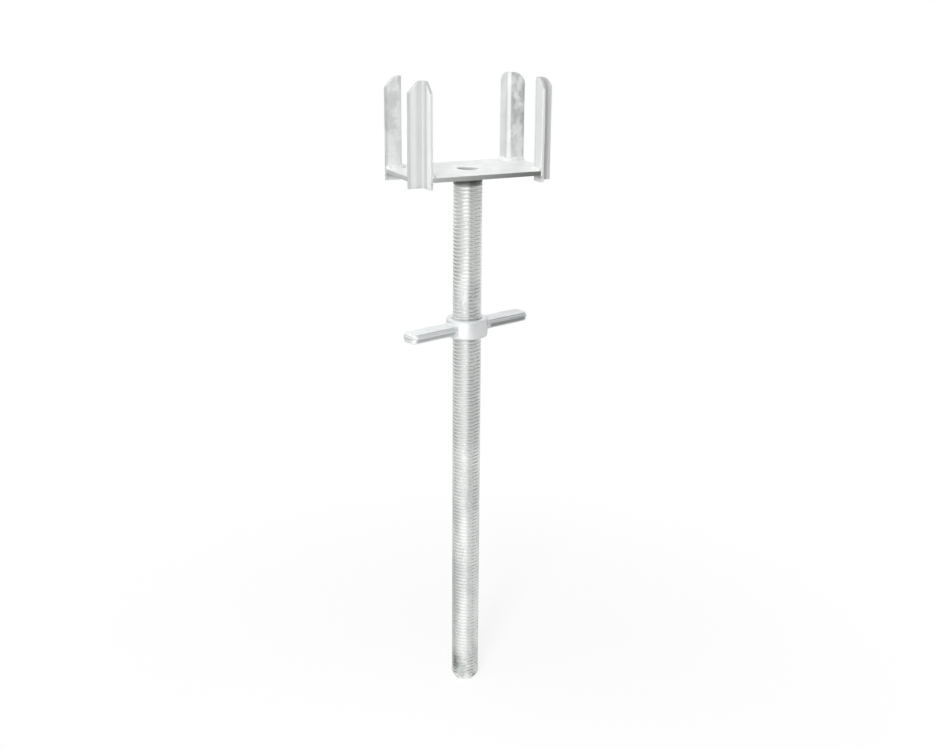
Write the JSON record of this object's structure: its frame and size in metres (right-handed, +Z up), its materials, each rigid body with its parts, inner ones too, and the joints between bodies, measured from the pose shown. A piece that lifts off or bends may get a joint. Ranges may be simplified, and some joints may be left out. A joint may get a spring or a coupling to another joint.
{
  "type": "fork head jack",
  "caption": "Cross-shaped head plate with folded angle uprights that hold a beam either way, on a threaded tube spindle whose cast wing nut sets the height.",
  "frame": {"origin": "centre of the spindle's lower end", "axes": "+Z up the spindle towards the head, +X along the wide gap between the uprights, +Y along the narrow gap"},
  "size_m": [0.198, 0.118, 0.851],
  "materials": {
    "galvanised_plate": "hot-dip galvanised, satin",
    "galvanised_angle": "hot-dip galvanised, mottled satin",
    "weld_bead": "weld bead under zinc",
    "threaded_tube": "rolled thread, galvanised",
    "cast_nut": "galvanised casting"
  },
  "bodies": {
    "jack": {"head_plate": "galvanised_plate", "spindle_tube": "threaded_tube", "spindle_weld": "weld_bead", "upright_front_left": "galvanised_angle", "upright_front_right": "galvanised_angle", "upright_rear_left": "galvanised_angle", "upright_rear_right": "galvanised_angle", "weld_front_left": "weld_bead", "weld_front_right": "weld_bead", "weld_rear_left": "weld_bead", "weld_rear_right": "weld_bead"},
    "wing_nut": {"wing_nut": "cast_nut"}
  },
  "joints": [
    {"name": "nut_travel", "type": "slide", "parent": "jack", "child": "wing_nut", "axis": [0, 0, 1], "range_m": [-0.5, 0.185]}
  ]
}
